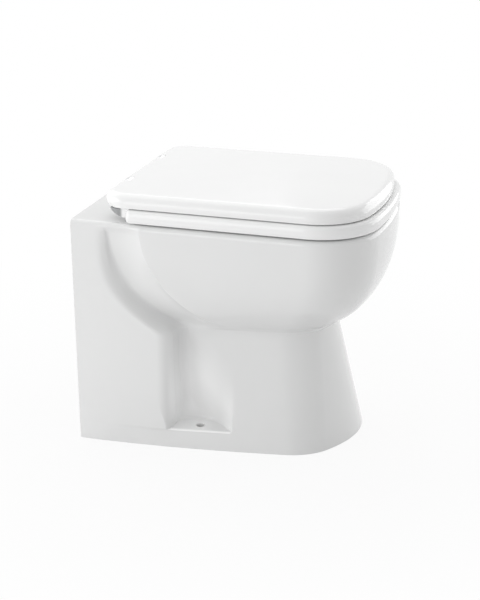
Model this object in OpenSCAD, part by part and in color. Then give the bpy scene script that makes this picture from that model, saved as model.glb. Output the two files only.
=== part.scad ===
// Back to wall toilet: glazed pan with a concealed trap, seat ring, lid and hinge fittings.
// Millimetres. X is across, Z is up, the wall plane is y = 0 and the front faces -Y.
// The origin is the point where the wall line, the floor and the centreline meet.

/* [Pan] */
// Height of the rim and deck above the floor
rim_h = 397; // [360:1:440]
// Distance from the wall to the front of the bowl
pan_depth = 504; // [480:1:560]
// Half the width of the boxed back of the pan
box_half_w = 178.4; // [170:0.1:195]
// Half the width of the rim
rim_half_w = 183.8; // [175:0.1:200]
// Radius of the plan corners of the rim
rim_corner_r = 103; // [80:1:115]
// Radius of the gently curved front of the rim
rim_front_r = 672; // [500:1:900]
// Radius of the rounded edge round the rim and deck
rim_edge_r = 8; // [4:0.5:12]
// Height at which the bowl grows out of the pedestal
waist_z = 207; // [190:1:235]
// Height at which the bowl reaches its full width
belly_z = 378; // [350:1:390]
// Distance from the wall to the front of the waist
waist_depth = 410; // [390:1:430]
// Half the width of the waist, before its plan taper
waist_half_w = 137; // [125:1:150]
// Distance from the wall to the front of the foot
foot_depth = 461; // [440:1:480]
// Radius of the plan corners of the foot
foot_corner_r = 71; // [55:1:85]
// Radius of the curved front of the foot
foot_front_r = 286; // [250:1:500]
// Ceramic wall thickness
wall_t = 11; // [9:0.5:14]

/* [Bowl and waterway] */
// Width of the rim beside the bowl
rim_side_w = 50; // [40:1:60]
// Width of the rim in front of the bowl
rim_front_w = 40; // [34:1:55]
// Distance from the wall to the rear edge of the bowl opening
bowl_rear = 150; // [145:1:165]
// Distance from the wall to the centre of the sump
sump_y = 324; // [318:1:330]
// Radius of the sump
sump_r = 42; // [38:1:44]
// Bore radius of the trap
trap_r = 35; // [30:1:37]
// Wall thickness of the trap tube
trap_t = 8; // [6:0.5:9]
// Height of the outlet centre above the floor
outlet_z = 180; // [175:1:185]
// Outer radius of the outlet spigot
outlet_r = 51; // [45:0.5:55]
// Length of the outlet spigot
outlet_len = 45; // [30:1:50]
// Gap between the wall plane and the end of the spigot
outlet_gap = 8; // [2:1:20]
// Depth of the flush inlet centre below the rim
inlet_drop = 62; // [52:1:72]
// Bore radius of the flush inlet socket
inlet_r = 27.5; // [20:0.5:30]
// Depth of the flush inlet socket
inlet_len = 45; // [30:1:60]

/* [Floor fixing shelves] */
// Height of the fixing shelf above the floor
shelf_z = 33; // [25:1:45]
// Distance from the wall to the floor fixing hole
floor_hole_y = 207; // [195:1:215]
// Distance from the centreline to the floor fixing hole
floor_hole_x = 137; // [130:1:142]
// Radius of the floor fixing hole
floor_hole_r = 7.5; // [4:0.5:8]
// Thickness of the fixing shelf
shelf_t = 14; // [10:1:18]

/* [Seat and lid] */
// How far the seat stands out beyond the rim
seat_over = 0.9; // [0:0.1:4]
// How far the seat reaches in over the edge of the bowl
seat_ledge = 20; // [12:1:30]
// Thickness of the seat ring
seat_t = 22.3; // [16:0.1:26]
// Gap between the rim and the underside of the seat
seat_gap = 2.6; // [1.5:0.1:5]
// Gap between the seat and the lid
lid_gap = 1.2; // [0.6:0.1:3]
// How far the sides of the lid lie inside the sides of the seat
lid_in_side = 6.2; // [4:0.1:12]
// How far the front of the lid lies inside the front of the seat
lid_in_front = 10.2; // [6:0.1:16]
// Thickness of the lid
lid_t = 22.5; // [18:0.1:26]
// Radius of the rounded top edge of the lid
lid_edge_r = 15; // [8:0.5:16]
// Depth of the recess under the lid
lid_recess = 14; // [8:0.5:14.5]

/* [Hinges] */
// Distance between the two hinge holes in the deck
hinge_pitch = 155; // [130:1:170]
// Distance from the wall to the hinge axis
axis_y = 66; // [60:0.5:75]
// Radius of the hinge barrel along the rear of the lid
barrel_r = 13.4; // [12:0.1:14]
// Width of the hinge post
post_w = 20; // [16:0.5:24]
// Width of each seat hinge ear
ear_w = 45; // [35:1:50]
// Radius of the hinge pin
pin_r = 4; // [3:0.25:4.5]
// Radius of the soft-close damper cartridge
damper_r = 6.4; // [5.5:0.1:6.6]
// Length of the soft-close damper cartridge
damper_len = 38; // [30:1:40]
// Running clearance round a pin
pin_gap = 0.05; // [0.02:0.01:0.1]
// Clearance between parts that turn past each other
turn_gap = 0.5; // [0.4:0.05:0.8]
// Radius of the fixing stud
stud_r = 4; // [3:0.5:5]
// Radius of the hinge hole in the deck
deck_hole_r = 7; // [6:0.5:9]

/* [Hidden] */

// Heights that follow from the gaps between rim, seat and lid.
seat_z = rim_h + seat_gap;
seat_top_z = seat_z + seat_t;
lid_z = seat_top_z + lid_gap;
lid_top_z = lid_z + lid_t;
axis_z = lid_top_z - barrel_r;
lid_rear = axis_y - barrel_r;
// The flush inlet sits under the deck, so it keeps its place below the rim.
inlet_z = rim_h - inlet_drop;
// Small air gap between parts that only come to rest on each other.
rest_gap = 0.3;

function clamp01(t) = min(max(t, 0), 1);
// The smaller of a and b, blended over the distance k where they cross.
function soft_min(a, b, k) = let (h = clamp01(0.5 + 0.5 * (b - a) / k)) mix(b, a, h) - k * h * (1 - h);
function smooth(t) = let (u = clamp01(t)) u * u * (3 - 2 * u);
function mix(a, b, t) = a + (b - a) * t;
function flat(lists) = [for (list = lists) for (item = list) item];

// Sides of a skin made of closed rings of n points, wrapping back to the first ring when closed is 1.
function ring_sides(n, rings, closed) = concat(
    [for (r = [0:rings - 2 + closed], i = [0:n - 1]) let (s = (r + 1) % rings)
        [r * n + i, s * n + (i + 1) % n, s * n + i]],
    [for (r = [0:rings - 2 + closed], i = [0:n - 1]) let (s = (r + 1) % rings)
        [r * n + i, r * n + (i + 1) % n, s * n + (i + 1) % n]]);
function middle(ring) = [for (k = [0:2]) [for (p = ring) 1] * [for (p = ring) p[k]] / len(ring)];

// A solid from a stack of rings, closed by a flat fan on the first and the last ring.
module skin(rings) {
    n = len(rings[0]);
    m = len(rings);
    polyhedron(points = concat(flat(rings), [middle(rings[0]), middle(rings[m - 1])]), faces = concat(
        ring_sides(n, m, 0),
        [for (i = [0:n - 1]) [n * m, (i + 1) % n, i]],
        [for (i = [0:n - 1]) [n * m + 1, (m - 1) * n + i, (m - 1) * n + (i + 1) % n]]), convexity = 10);
}

// A hollow loop of rings that closes on itself.
module closed_skin(rings) {
    polyhedron(points = flat(rings), faces = ring_sides(len(rings[0]), len(rings), 1), convexity = 10);
}

module mirror_pair() {
    children();
    mirror([1, 0, 0]) children();
}

// A bar along X from x0 to x1, with its profile given as [y, z] points.
module x_bar(x0, x1, profile) {
    translate([x0, 0, 0]) rotate([90, 0, 90]) linear_extrude(x1 - x0) polygon(profile);
}

// A round bar along X between x0 and x1 on the hinge axis.
module axis_rod(x0, x1, r) {
    translate([min(x0, x1), -axis_y, axis_z]) rotate([0, 90, 0]) cylinder(h = abs(x1 - x0), r = r, $fn = 48);
}

// ---------------------------------------------------------------- pan

foot_taper = 0.303;
waist_turn = 9;
waist_taper = 0.449;
taper_power = 1.7;
taper_length = 450;

// Share of the way from the foot to the waist, and from the waist to the full belly.
function foot_share(z) = clamp01(z / waist_z);
function belly_share(z) = let (d = z - waist_z, w = waist_turn,
        above = abs(d) < w ? pow(d + w, 2) / (4 * w) : d, u = clamp01(above / (belly_z - waist_z)))
    pow(1 - pow(1 - u, 2.82), 1 / 1.19);

// Plan values at height z: half width, front, corner radius, front radius and taper.
function plan_w(z) = mix(mix(box_half_w, waist_half_w, foot_share(z)), rim_half_w, belly_share(z));
function plan_f(z) = mix(mix(foot_depth, waist_depth, foot_share(z)), pan_depth, belly_share(z));
function plan_c(z) = mix(foot_corner_r, rim_corner_r, belly_share(z));
function plan_r(z) = mix(foot_front_r, rim_front_r, belly_share(z));
function plan_t(z) = mix(foot_taper, waist_taper, foot_share(z)) * (1 - belly_share(z));
function taper(z, y) = 1 - plan_t(z) * pow(abs(y) / taper_length, taper_power);

// The valley between the boxed back and the bowl, which widens into the scoop over the shelf.
valley_top_z = rim_h - 7;
valley_top_y = 58;
valley_foot_y = 168;
lip_foot_y = 172;
function valley_q(z) = min(max(valley_top_z - z, 0) / 180, 1.4);
// Shares of the way from the scoop to the straight valley, on to the belly, and up to the deck.
function over_shelf(z) = smooth((z - shelf_z) / 45);
function on_belly(z) = smooth((z - 205) / 30);
function upper(z) = smooth((z - 290) / 70);
// Depth of the valley.
function valley_depth(z) = let (q = valley_q(z), deepest = mix(69, 54, smooth((z - shelf_z) / 120)))
    soft_min(5 * clamp01(18 * q) + 28 * q + 35 * pow(q, 7), deepest, 12);
// Distance from the wall to the steepest line, the outer edge, the bottom and the front lip.
function steep_y(z) =
    soft_min(mix(valley_top_y, valley_foot_y, pow(valley_q(z), 3)), mix(163, 169, over_shelf(z)), 12);
function edge_y(z) = steep_y(z) - mix(8, mix(26, 20, upper(z)), over_shelf(z));
function floor_y(z) = steep_y(z) + mix(44, mix(mix(17, 21, on_belly(z)), 9, upper(z)), over_shelf(z));
function lip_y(z) = let (q = max(valley_top_z - z, 0) / 172)
    mix(92, 66, on_belly(z))
    + soft_min(mix(valley_top_y - 1, lip_foot_y, min(q * q, 3)), lip_foot_y + 3, 24);
// Share of the depth at share q of the wall, which is steepest at share m: two arcs with a slope between
// them on the pedestal, and a gentler wave on the belly.
function steep_share(q, m, first, last, cut) = let (turn = 1 - sqrt(1 - cut * cut))
    q < cut * m ? first * (1 - sqrt(1 - pow(q / m, 2)))
    : q > 1 - cut * (1 - m) ? 1 - last * (1 - sqrt(max(1 - pow((1 - q) / (1 - m), 2), 0)))
    : mix(first * turn, 1 - last * turn, (q - cut * m) / (1 - cut));
function gentle_share(q, m) = smooth(smooth(q < m ? 0.5 * q / m : 0.5 + 0.5 * (q - m) / (1 - m)));
function fall_share(z, q, m) = mix(steep_share(q, m, 0.45, mix(0.55, 0.35, over_shelf(z)), 0.96),
    gentle_share(q, m), smooth((z - 195) / 35));

// Half width of the pan at distance y from the wall: box, valley, then bowl or pedestal.
function box_half(z, y) = let (t = foot_taper * pow(abs(y) / taper_length, taper_power))
    box_half_w * (1 - t * (1 - z / rim_h));
function half_width(z, y, shelf) =
    let (full = plan_w(z) * taper(z, y), box = box_half(z, y), e = edge_y(z), s = steep_y(z),
        b = floor_y(z), l = lip_y(z), deep = min(box_half_w - valley_depth(z), full),
        rise = clamp01((y - b) / (l - b)),
        low = mix(pow(rise, 2.2), smooth(rise), smooth((z - shelf_z) / 110)))
    z < shelf ? mix(box, full, smooth(y / l))
        : mix(box, mix(deep, full, mix(low, pow(rise, 2.3), on_belly(z))),
            fall_share(z, clamp01((y - e) / (b - e)), (s - e) / (b - e)));

// Distances from the wall of the points along one side, in step with the valley: 4 steps to its edge,
// 4 and 1 and 3 down its wall, 7 to its lip and 6 to the rounded front.
function side_y(z, i, yc) = let (e = edge_y(z), s = steep_y(z), b = floor_y(z), l = lip_y(z))
    i < 4 ? e * i / 4
    : i < 9 ? mix(e, s, sin(18.5 * (i - 4)))
    : i < 12 ? mix(b, s, sin(24.6 * (12 - i)))
    : i < 19 ? mix(b, l, (i - 12) / 7)
    : mix(l, yc, (i - 19) / 6);

// The rounded front at height z, inset by d: corner centre x and y, half angle of the front arc, then
// corner radius, front radius and front.
function nose(z, d) = let (w = plan_w(z) - d, f = plan_f(z) - d, c = plan_c(z) - d, r = plan_r(z) - d,
    dy = sqrt(pow(r - c, 2) - pow(w - c, 2))) [w - c, f - r + dy, atan2(w - c, dy), c, r, f];
function nose_points(z, d, corner_n, front_n) = let (v = nose(z, d), a = v[2], c = v[3], r = v[4], f = v[5])
    concat(
    [for (i = [1:corner_n]) let (b = (90 - a) * i / corner_n, y = v[1] + c * sin(b))
        [(v[0] + c * cos(b)) * taper(z, y), -y]],
    [for (i = [1:front_n]) let (b = a * (1 - i / front_n), y = f - r + r * cos(b))
        [r * sin(b) * taper(z, y), -y]]);

// Half an outline, from the wall to the centre of the front, inset by d.
function half_plan(z, d) = let (yc = nose(z, d)[1]) concat(
    [for (i = [0:25]) let (y = side_y(z, i, yc)) [half_width(z, y, shelf_z) - d, -y]],
    nose_points(z, d, 6, 5));

// A closed outline: down the right side, round the front and back up the left side to the wall.
function both_sides(half) = concat(half, [for (i = [len(half) - 2:-1:0]) [-half[i].x, half[i].y]]);
function pan_ring(z, d) = let (loop = both_sides(half_plan(z, d)), h = loop[0].x) concat(
    [for (i = [0:len(loop) - 1]) [loop[i].x, i == 0 || i == len(loop) - 1 ? 4 : loop[i].y, z]],
    [for (i = [1:7]) [mix(-h, h, i / 8), 4, z]]);

// Heights of the skin rings, closer together where the profile turns.
foot_zs = [-3, 0, shelf_z - 0.2];
neck_zs = [for (k = [0.001, 0.11, 0.23, 0.37, 0.53, 0.69, 0.82, 0.9, 0.95]) mix(shelf_z, waist_z, k)];
belly_zs = [for (k = [0, 0.012, 0.03, 0.055, 0.09, 0.135, 0.19, 0.26, 0.35, 0.46, 0.59, 0.73, 0.87, 1])
    mix(waist_z, belly_z, k)];
crown_zs = [rim_h - 16, rim_h - 10];

bowl_half_w = rim_half_w - rim_side_w;
bowl_front = pan_depth - rim_front_w;
bowl_mid = (bowl_rear + bowl_front) / 2;
bowl_edge_r = 8;
bowl_foot_z = 205;
bowl_foot_r = sump_r + 1.5;

// Bowl inside at share k of the way down: half width, rear, front and height.
function bowl_w(k) = mix(bowl_foot_r, bowl_half_w, pow(1 - k, 0.55));
function bowl_r(k) = mix(bowl_rear, sump_y - bowl_foot_r, k);
function bowl_f(k) = mix(sump_y + bowl_foot_r, bowl_front, pow(1 - k, 0.5));
function bowl_z(k) = mix(rim_h - bowl_edge_r, bowl_foot_z, k);

// A ring of the bowl with one point at the bearing of each point of a base outline.
function bowl_ring(base, w, rear, front, z) =
    let (m = (rear + front) / 2, l = (front - rear) / 2)
    [for (p = base) let (b = atan2(p.x, -p.y - bowl_mid)) [w * sin(b), -m - l * cos(b), z]];

module pan_skin() {
    sides = [for (z = concat(foot_zs, neck_zs, belly_zs, crown_zs)) pan_ring(z, 0)];
    crown = [for (a = [0:22.5:90]) pan_ring(rim_h - rim_edge_r * (1 - sin(a)), rim_edge_r * (1 - cos(a)))];
    base = crown[4];
    lip = [for (a = [0:30:90]) let (g = bowl_edge_r * (1 - sin(a)))
        bowl_ring(base, bowl_half_w + g, bowl_rear - g, bowl_front + g, rim_h - bowl_edge_r * (1 - cos(a)))];
    inside = [for (i = [1:9]) let (k = i / 9) bowl_ring(base, bowl_w(k), bowl_r(k), bowl_f(k), bowl_z(k))];
    skin(concat(sides, crown, lip, inside));
}

// Solid body of the bowl, one wall thicker than its inside.
module bowl_body() {
    base = [for (i = [0:35]) [-300 * sin(i * 10), -bowl_mid - 300 * cos(i * 10)]];
    top = bowl_ring(base, bowl_half_w + wall_t, bowl_rear - wall_t, bowl_front + wall_t, rim_h);
    rings = [for (i = [0:6]) let (k = i / 6)
        bowl_ring(base, bowl_w(k) + wall_t, bowl_r(k) - wall_t, bowl_f(k) + wall_t, bowl_z(k) - wall_t * k)];
    skin([for (i = [7:-1:0]) i == 0 ? top : rings[i - 1]]);
}

// Hollow between the outer skin and the bowl, open at the floor and at the wall.
deck_t = 18;
function hollow_half(z, y, shelf) = min([for (s = [-15, -8, 0, 8, 15], up = z > 180 ? [0, 12] : [0])
    half_width(z + up, max(y + s, 0), shelf)]) - wall_t;
function hollow_ring(z, plan_z, shelf) = let (d = wall_t + 1, v = nose(plan_z, d), loop = both_sides(concat(
        [for (i = [0:11]) let (y = mix(0, v[1] - 12, i / 11))
            [hollow_half(plan_z, y, shelf), i == 0 ? 10 : -y]],
        nose_points(plan_z, d, 3, 3)))) [for (p = loop) [p.x, p.y, z]];
module hollow() {
    skin(concat(
        [for (z = [-6, shelf_z - shelf_t - 0.5]) hollow_ring(z, max(z, 0), shelf_z)],
        [for (z = [shelf_z - shelf_t, 70, 120, 165, waist_z - 14, waist_z])
            hollow_ring(z, max(z, shelf_z + 1), 0)],
        [for (z = [waist_z + 14, 250, 275, 305, 345, rim_h - deck_t]) hollow_ring(z, z - 11, 0)]));
}

// Centreline of the trap as [distance from the wall, height]: level, rise, crest, fall and level outlet.
trap_bend = 50;
foot_bend = 40;
rise_deg = 60;
fall_deg = 40;
weir_z = 205;
foot_z = 114;
crest_z = weir_z + trap_r - trap_bend;
outlet_start = outlet_gap + outlet_len;
fall_drop = crest_z + trap_bend * cos(fall_deg) - outlet_z - trap_bend * (1 - cos(fall_deg));
crest_y = outlet_start + 2 * trap_bend * sin(fall_deg) + fall_drop / tan(fall_deg);
rise_top = [crest_y + trap_bend * sin(rise_deg), crest_z + trap_bend * cos(rise_deg)];
foot_y = rise_top.x + (rise_top.y - foot_z) / tan(rise_deg) + foot_bend * tan(rise_deg / 2);
trap_line = concat(
    [[sump_y, foot_z]],
    [for (a = [0:15:rise_deg]) [foot_y - foot_bend * sin(a), foot_z + foot_bend * (1 - cos(a))]],
    [for (i = [0:5]) let (a = mix(rise_deg, -fall_deg, i / 5))
        [crest_y + trap_bend * sin(a), crest_z + trap_bend * cos(a)]],
    [for (i = [0:4]) let (a = fall_deg * (1 - i / 4))
        [outlet_start + trap_bend * sin(a), outlet_z + trap_bend * (1 - cos(a))]]);
trap_sides = 20;

// A tube of radius r along the trap, ending at distance tail from the wall.
module trap_sweep(r, tail) {
    line = concat(trap_line, [[tail, outlet_z]]);
    last = len(line) - 1;
    skin([for (i = [0:last])
        let (p = line[i], t = line[min(i + 1, last)] - line[max(i - 1, 0)], u = t / norm(t))
        [for (k = [0:trap_sides - 1]) let (a = 360 * k / trap_sides)
            [r * cos(a), -(p.x + r * sin(a) * u.y), p.y - r * sin(a) * u.x]]]);
}

// Ceramic round the sump, the trap and the flush inlet.
module waterway_walls() {
    translate([0, -sump_y, foot_z + 6])
        cylinder(h = bowl_foot_z - foot_z - 8, r = sump_r + trap_t, $fn = 48);
    translate([0, -sump_y, foot_z + 6]) sphere(r = sump_r + trap_t, $fn = 48);
    trap_sweep(trap_r + trap_t, outlet_gap + 4);
    translate([0, -outlet_start, outlet_z]) rotate([-90, 0, 0])
        cylinder(h = outlet_len, r = outlet_r, $fn = 72);
    translate([0, -inlet_len - outlet_gap - 8, inlet_z]) rotate([-90, 0, 0])
        cylinder(h = inlet_len + 8, r = inlet_r + 7, $fn = 72);
    translate([0, -bowl_rear - 18, inlet_z]) rotate([-90, 0, 0])
        cylinder(h = bowl_rear - 35, r = 24, $fn = 48);
}

module waterway_bores() {
    translate([0, -sump_y, foot_z + 6]) cylinder(h = 110, r = sump_r, $fn = 48);
    translate([0, -sump_y, foot_z + 6]) sphere(r = sump_r, $fn = 48);
    trap_sweep(trap_r, -6);
    translate([0, -inlet_len - outlet_gap, inlet_z]) rotate([-90, 0, 0])
        cylinder(h = inlet_len + 10, r = inlet_r, $fn = 72);
    translate([0, -bowl_rear - 44, inlet_z]) rotate([-90, 0, 0]) cylinder(h = bowl_rear, r = 17, $fn = 48);
}

module pan() {
    color("white") difference() {
        union() {
            difference() {
                pan_skin();
                difference() {
                    hollow();
                    bowl_body();
                }
            }
            waterway_walls();
        }
        waterway_bores();
        translate([-300, 0, -20]) cube([600, 60, 500]);
        translate([-300, -600, -20]) cube([600, 700, 20]);
        mirror_pair() {
            translate([floor_hole_x, -floor_hole_y, -1])
                cylinder(h = shelf_z + 30, r = floor_hole_r, $fn = 48);
            translate([hinge_pitch / 2, -stud_y, rim_h - 30])
                cylinder(h = 50, r = deck_hole_r, $fn = 48);
        }
    }
}

// ---------------------------------------------------------------- seat and lid

// A closed outline for seat and lid, inset by d, from plan values in millimetres from the wall.
function slab_half(w, rear, front, rr, c, r, d) =
    let (hw = w - d, f = front - d, b = rear + d, q = max(rr - d, 1), k = c - d, g = r - d,
        dy = sqrt(pow(g - k, 2) - pow(hw - k, 2)), yc = f - g + dy, a = atan2(hw - k, dy))
    concat(
        [for (i = [1:3]) [(hw - q) * i / 3, -b]],
        [for (i = [1:5]) let (t = 90 * i / 5) [hw - q + q * sin(t), -(b + q - q * cos(t))]],
        [for (i = [1:6]) [hw, -mix(b + q, yc, i / 6)]],
        [for (i = [1:8]) let (t = (90 - a) * i / 8) [hw - k + k * cos(t), -(yc + k * sin(t))]],
        [for (i = [1:6]) let (t = a * (1 - i / 6)) [g * sin(t), -(f - g + g * cos(t))]]);
function slab_ring(w, rear, front, rr, c, r, d) =
    let (half = slab_half(w, rear, front, rr, c, r, d), m = len(half))
    concat(half, [for (i = [m - 2:-1:0]) [-half[i].x, half[i].y]], [[0, -(rear + d)]]);

seat_rear = 97;
seat_rr = 10;
seat_half_w = rim_half_w + seat_over;
seat_front = pan_depth + seat_over;
opening_half_w = bowl_half_w - seat_ledge;
opening_rear = bowl_rear + seat_ledge;
opening_front = bowl_front - seat_ledge;
seat_corner_r = rim_corner_r;
seat_front_r = rim_front_r;
opening_mid = (opening_rear + opening_front) / 2;

// Rings of the seat from the inner bottom edge round the outside to the inner top edge.
seat_profile = [[9, 0], [3.5, 0.8], [1, 3.4], [0, 8], [0.3, 14], [1.6, 18], [4, 20.2], [8, 21]];
inner_profile = [[0, 19.2], [-5, 12], [-6, 6], [-2, 0.6]];

function seat_outer_ring(p) = [for (q = slab_ring(seat_half_w, seat_rear, seat_front, seat_rr, seat_corner_r,
    seat_front_r, p[0])) [q.x, q.y, seat_z + p[1] * seat_t / 21]];
function seat_inner_ring(p) = let (w = opening_half_w + p[0], l = (opening_front - opening_rear) / 2 + p[0])
    [for (q = seat_outer_ring([0, 0])) let (b = atan2(q.x, -q.y - opening_mid))
        [w * sin(b), -(opening_mid + l * cos(b)), seat_z + p[1] * seat_t / 21]];

post_x = hinge_pitch / 2;
post_half = post_w / 2;
ear_out = post_x - post_half - turn_gap;
barrel_in = post_x + post_half + turn_gap;
ear_in = ear_out - ear_w;
ear_r = 9.2;
tongue_half = 163;
stud_y = axis_y + 10;

// Underside of the tongue that carries the seat back to the hinge axis.
tongue_profile = [[-150, seat_z + 0.4], [-seat_rear, seat_z + 0.4], [-seat_rear + 5, seat_z + 4.2],
    [-axis_y - 18, seat_z + 4.2], [-axis_y + 1, axis_z - 19.6], [-axis_y + 5, axis_z - 16.5],
    [-axis_y + 3.5, axis_z - 14.9], [-axis_y - 13.5, axis_z - 14.6], [-seat_rear + 1, seat_top_z - 0.2],
    [-150, seat_top_z - 0.2]];

module seat_tongue() {
    intersection() {
        x_bar(-tongue_half, tongue_half, tongue_profile);
        translate([0, 0, seat_z - 5]) linear_extrude(60) union() {
            translate([-tongue_half, -160]) square([2 * tongue_half, 76]);
            mirror_pair() translate([tongue_half - 30, -axis_y - 18]) circle(r = 30, $fn = 64);
            translate([-tongue_half + 30, -100]) square([2 * tongue_half - 60, 60]);
        }
    }
}

// Seat ear from the tongue up to the hinge axis.
module seat_ear() {
    axis_rod(ear_in, ear_out, ear_r);
    x_bar(ear_in, ear_out, [[-axis_y - 24, seat_z + 10], [-axis_y - 6, axis_z - 16.5],
        [-axis_y + 2, axis_z - 9], [-axis_y, axis_z], [-axis_y - 5.5, axis_z + 7.3],
        [-axis_y - 24, seat_top_z - 1]]);
}

module seat() {
    color("white") difference() {
        union() {
            closed_skin(concat(
                [for (p = seat_profile) seat_outer_ring(p)],
                [for (p = inner_profile) seat_inner_ring(p)]));
            seat_tongue();
            mirror_pair() seat_ear();
        }
        // room for each post as the seat lifts
        mirror_pair() translate([post_x - post_half - turn_gap, -axis_y - 22.5, seat_z - 5])
            cube([post_w + 2 * turn_gap, 60, 70]);
        // bores for the bush on the left and the damper on the right
        axis_rod(-ear_out + bush_len + 0.5, -ear_out - 1, bush_r + pin_gap);
        axis_rod(ear_out - damper_len - 0.5, ear_out + 1, damper_r + pin_gap);
        for (s = seat_bumper_spots) bumper_socket(s, seat_z);
    }
}

// Rear edge and side edge profiles of the lid, as [inset, height] pairs that blend into each other.
edge_n = 10;
function lid_side(k) = k < 3 ? [[2.2, 0], [0.6, 0.7], [0, 2.4]][k]
    : let (a = 90 * (k - 3) / (edge_n - 3)) [lid_edge_r * (1 - cos(a)), lid_t - lid_edge_r * (1 - sin(a))];
function lid_back(k) = let (a = -90 + 180 * k / edge_n)
    [barrel_r * (1 - cos(a)), axis_z - lid_z + barrel_r * sin(a)];
lid_half_w = seat_half_w - lid_in_side;
lid_front = seat_front - lid_in_front;
lid_rr = 40;
lid_corner_r = 91;
lid_front_r = 533;
function back_share(y) = 1 - smooth((-y - lid_rear - 12) / 30);
function lid_plan(d) = slab_ring(lid_half_w, lid_rear, lid_front, lid_rr, lid_corner_r, lid_front_r, d);
outer_plan = lid_plan(0);
function lid_edge_ring(k) =
    let (side = lid_plan(lid_side(k)[0]), back = lid_plan(lid_back(k)[0]))
    [for (i = [0:len(outer_plan) - 1]) let (s = back_share(outer_plan[i].y), q = mix(side[i], back[i], s))
        [q.x, q.y, lid_z + mix(lid_side(k)[1], lid_back(k)[1], s)]];
function lid_under_ring(side_in, back_in, back_h) =
    let (side = lid_plan(side_in), back = lid_plan(back_in))
    [for (i = [0:len(outer_plan) - 1]) let (s = back_share(outer_plan[i].y), q = mix(side[i], back[i], s))
        [q.x, q.y, lid_z + mix(0, back_h, s)]];
lid_land = 14;
function recess_ring(d, h) = [for (q = slab_ring(lid_half_w - lid_land, 128, lid_front - lid_land, 30,
    lid_corner_r - lid_land, lid_front_r - lid_land, d)) [q.x, q.y, lid_z + h]];

module lid_skin() {
    barrel_foot = axis_z - lid_z;
    skin(concat(
        [recess_ring(8, lid_recess), recess_ring(2.5, lid_recess - 1.5)],
        [recess_ring(0, lid_recess - 6), recess_ring(-2, 0)],
        [lid_under_ring(8, 30, 0), lid_under_ring(6, barrel_r + 11.2, 0),
            lid_under_ring(4, barrel_r + 6, barrel_foot - sqrt(barrel_r * barrel_r - 36))],
        [for (k = [0:edge_n]) lid_edge_ring(k)]));
}

bush_r = 6;
bush_len = 24;
module lid() {
    gap = turn_gap;
    color("white") difference() {
        lid_skin();
        mirror_pair() {
            // slot that the post's knuckle fills, open at the rear
            axis_rod(post_x - post_half - gap, post_x + post_half + gap, barrel_r + gap);
            translate([post_x - post_half - gap, -axis_y - 6, axis_z - 30]) cube([post_w + 2 * gap, 60, 60]);
            x_bar(post_x - post_half - gap, post_x + post_half + gap, [[-axis_y - 22, axis_z - 30],
                [-axis_y - 22, lid_z + 0.6], [-axis_y - 12, lid_z + 0.6], [-axis_y, axis_z],
                [-axis_y + 30, axis_z - 30]]);
            // pocket for the seat ear, closed above
            axis_rod(ear_in - gap, ear_out + gap + 0.1, ear_r + gap);
            x_bar(ear_in - gap, ear_out + gap + 0.1, [[-axis_y - 40, axis_z - 38],
                [-axis_y - 40, lid_z - 0.6], [-axis_y - 25, lid_z + 0.4],
                [-axis_y - 6, axis_z + 8], [-axis_y, axis_z + 4],
                [-axis_y + 7, axis_z + 6.7], [-axis_y + 17.5, axis_z - 2.5], [-axis_y + 40, axis_z - 30]]);
        }
        // bores for the damper on the left and the bush on the right
        axis_rod(-post_x - post_half, -post_x - post_half - gap - damper_len - 0.5, damper_r + pin_gap);
        axis_rod(post_x + post_half, post_x + post_half + gap + bush_len + 0.5, bush_r + pin_gap);
        for (s = lid_bumper_spots) bumper_socket(s, lid_z + lid_recess);
    }
}

// ---------------------------------------------------------------- hinge fittings, drawn on the right side

gasket_t = 1.2;
base_t = 3.2;
base_half = 21;
base_front = axis_y + 27;
base_rear = axis_y - 7;

module base_plan(grow) {
    translate([post_x - base_half - grow, -base_front - grow])
        square([2 * (base_half + grow), base_front - base_rear + 2 * grow]);
}

module hinge_post() {
    color("silver") difference() {
        union() {
            translate([0, 0, rim_h + gasket_t]) linear_extrude(base_t) base_plan(0);
            translate([post_x - post_half, -axis_y - 18, rim_h + gasket_t + 0.5])
                cube([post_w, 16, axis_z - 9.5 - rim_h - gasket_t - 0.5]);
            axis_rod(post_x - post_half, post_x + post_half, barrel_r);
        }
        axis_rod(post_x - post_half - 1, post_x + post_half + 1, pin_r + 0.02);
        translate([post_x, -stud_y, rim_h]) cylinder(h = 12, r = stud_r + 0.02, $fn = 48);
    }
}

pin_in = ear_out - 14;
pin_out = post_x + post_half + turn_gap + 16;
module hinge_pin() {
    color("gainsboro") axis_rod(pin_in, pin_out, pin_r);
}

module base_gasket() {
    color("dimgray") difference() {
        translate([0, 0, rim_h]) linear_extrude(gasket_t) base_plan(-1.5);
        translate([post_x, -stud_y, rim_h - 1]) cylinder(h = 4, r = stud_r + 0.3, $fn = 48);
    }
}

bush_depth = deck_t + 6;
nut_h = 8;
module fixing_stud() {
    color("silver") translate([post_x, -stud_y, rim_h - bush_depth - 26])
        cylinder(h = bush_depth + 36, r = stud_r, $fn = 48);
}

module deck_bush() {
    color("dimgray") difference() {
        union() {
            translate([post_x, -stud_y, rim_h - bush_depth])
                cylinder(h = bush_depth, r = deck_hole_r - 0.3, $fn = 48);
            translate([post_x, -stud_y, rim_h - bush_depth])
                cylinder(h = bush_depth - deck_t - 0.2, r = deck_hole_r + 5, $fn = 48);
        }
        translate([post_x, -stud_y, rim_h - 60]) cylinder(h = 80, r = stud_r + 0.3, $fn = 48);
    }
}

module fixing_washer() {
    color("silver") difference() {
        translate([post_x, -stud_y, rim_h - bush_depth - 1.6])
            cylinder(h = 1.6, r = deck_hole_r + 4, $fn = 48);
        translate([post_x, -stud_y, rim_h - 60]) cylinder(h = 80, r = stud_r + 0.3, $fn = 48);
    }
}

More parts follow.
